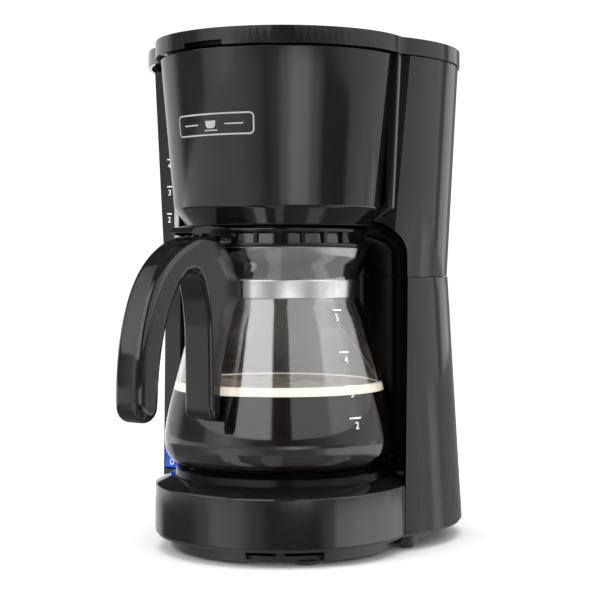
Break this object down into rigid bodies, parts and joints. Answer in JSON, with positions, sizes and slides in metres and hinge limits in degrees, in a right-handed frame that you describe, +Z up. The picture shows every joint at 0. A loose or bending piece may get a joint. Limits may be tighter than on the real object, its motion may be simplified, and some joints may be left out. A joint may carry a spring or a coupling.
{
  "type": "drip coffee maker",
  "caption": "Compact drip coffee maker: hinged lid over a water tank and brew cone, blue rocker switch, warming plate and a lidded glass carafe with an open-ended handle.",
  "frame": {"origin": "centre of the plan's bounding box, on the surface the feet stand on", "axes": "+Z up, -Y towards the machine's front, where the carafe handle points, +X to the right seen from the front"},
  "size_m": [0.181, 0.242, 0.2777],
  "materials": {
    "gloss_black": "deep gloss black",
    "matte_black": "satin black",
    "rubber_black": "matt rubber",
    "clear_plastic": "clear smoked",
    "gold_mesh": "fine mesh, satin",
    "steel": "satin",
    "brushed_band": "brushed round the neck",
    "plate_coating": "non-stick coating",
    "cast_aluminium": "as cast",
    "thermostat_body": "matt",
    "silicone_hose": "translucent white silicone",
    "white_plastic": "satin",
    "blue_switch": "lit translucent blue",
    "lead_insulation": "satin",
    "clear_glass": "clear"
  },
  "bodies": {
    "machine": {"base_plate": "matte_black", "base_screws": "steel", "foot_front_left": "rubber_black", "foot_front_right": "rubber_black", "foot_rear_left": "rubber_black", "foot_rear_right": "rubber_black", "foot_side_left": "rubber_black", "foot_side_right": "rubber_black", "base_shell": "gloss_black", "lower_column": "gloss_black", "upper_housing": "gloss_black", "water_window": "clear_plastic", "brew_cone": "gloss_black", "side_trim_left": "gloss_black", "side_trim_right": "gloss_black", "funnel_plate": "matte_black", "brew_basket": "matte_black", "basket_handle": "matte_black", "filter_mesh": "gold_mesh", "drip_stop_spring": "steel", "warming_plate": "plate_coating", "warming_ring": "matte_black", "heater_tube": "cast_aluminium", "heater_clamp": "cast_aluminium", "thermostat": "thermostat_body", "thermal_fuse": "steel", "cold_hose": "silicone_hose", "hot_riser": "silicone_hose", "hot_spout": "white_plastic", "hose_clip_cold": "steel", "hose_clip_hot": "steel", "valve_body": "white_plastic", "tank_strainer": "white_plastic", "switch_body": "matte_black", "rocker_pin": "steel", "cord_gland": "matte_black", "power_leads": "lead_insulation"},
    "lid": {"lid_cover": "gloss_black", "lid_liner": "matte_black", "shower_plate": "white_plastic", "hinge_pin_left": "steel", "hinge_pin_right": "steel"},
    "carafe": {"carafe_glass": "clear_glass", "carafe_band": "brushed_band", "carafe_handle": "gloss_black", "handle_screw": "steel", "carafe_lid": "gloss_black", "lid_lever": "gloss_black", "lever_pin": "steel"},
    "switch": {"switch_rocker": "blue_switch"},
    "drip_stop": {"drip_stop_stem": "matte_black"},
    "check_ball": {"valve_ball": "steel"}
  },
  "joints": [
    {"name": "lid_hinge", "type": "hinge", "parent": "machine", "child": "lid", "pos_m": [0, 0.116, 0.2725], "axis": [-1, 0, 0], "range_deg": [0, 95]},
    {"name": "carafe_slide", "type": "slide", "parent": "machine", "child": "carafe", "axis": [0, -1, 0], "range_m": [0, 0.15]},
    {"name": "switch_rock", "type": "hinge", "parent": "machine", "child": "switch", "pos_m": [-0.058, 0.0086, 0.044], "axis": [-1, 0, 0], "range_deg": [0, 12]},
    {"name": "drip_stop_slide", "type": "slide", "parent": "machine", "child": "drip_stop", "axis": [0, 0, 1], "range_m": [0, 0.003], "stiffness_N_per_m": 200, "deforming": ["drip_stop_spring"]},
    {"name": "check_ball_slide", "type": "slide", "parent": "machine", "child": "check_ball", "axis": [0, 0, 1], "range_m": [0, 0.002]}
  ]
}
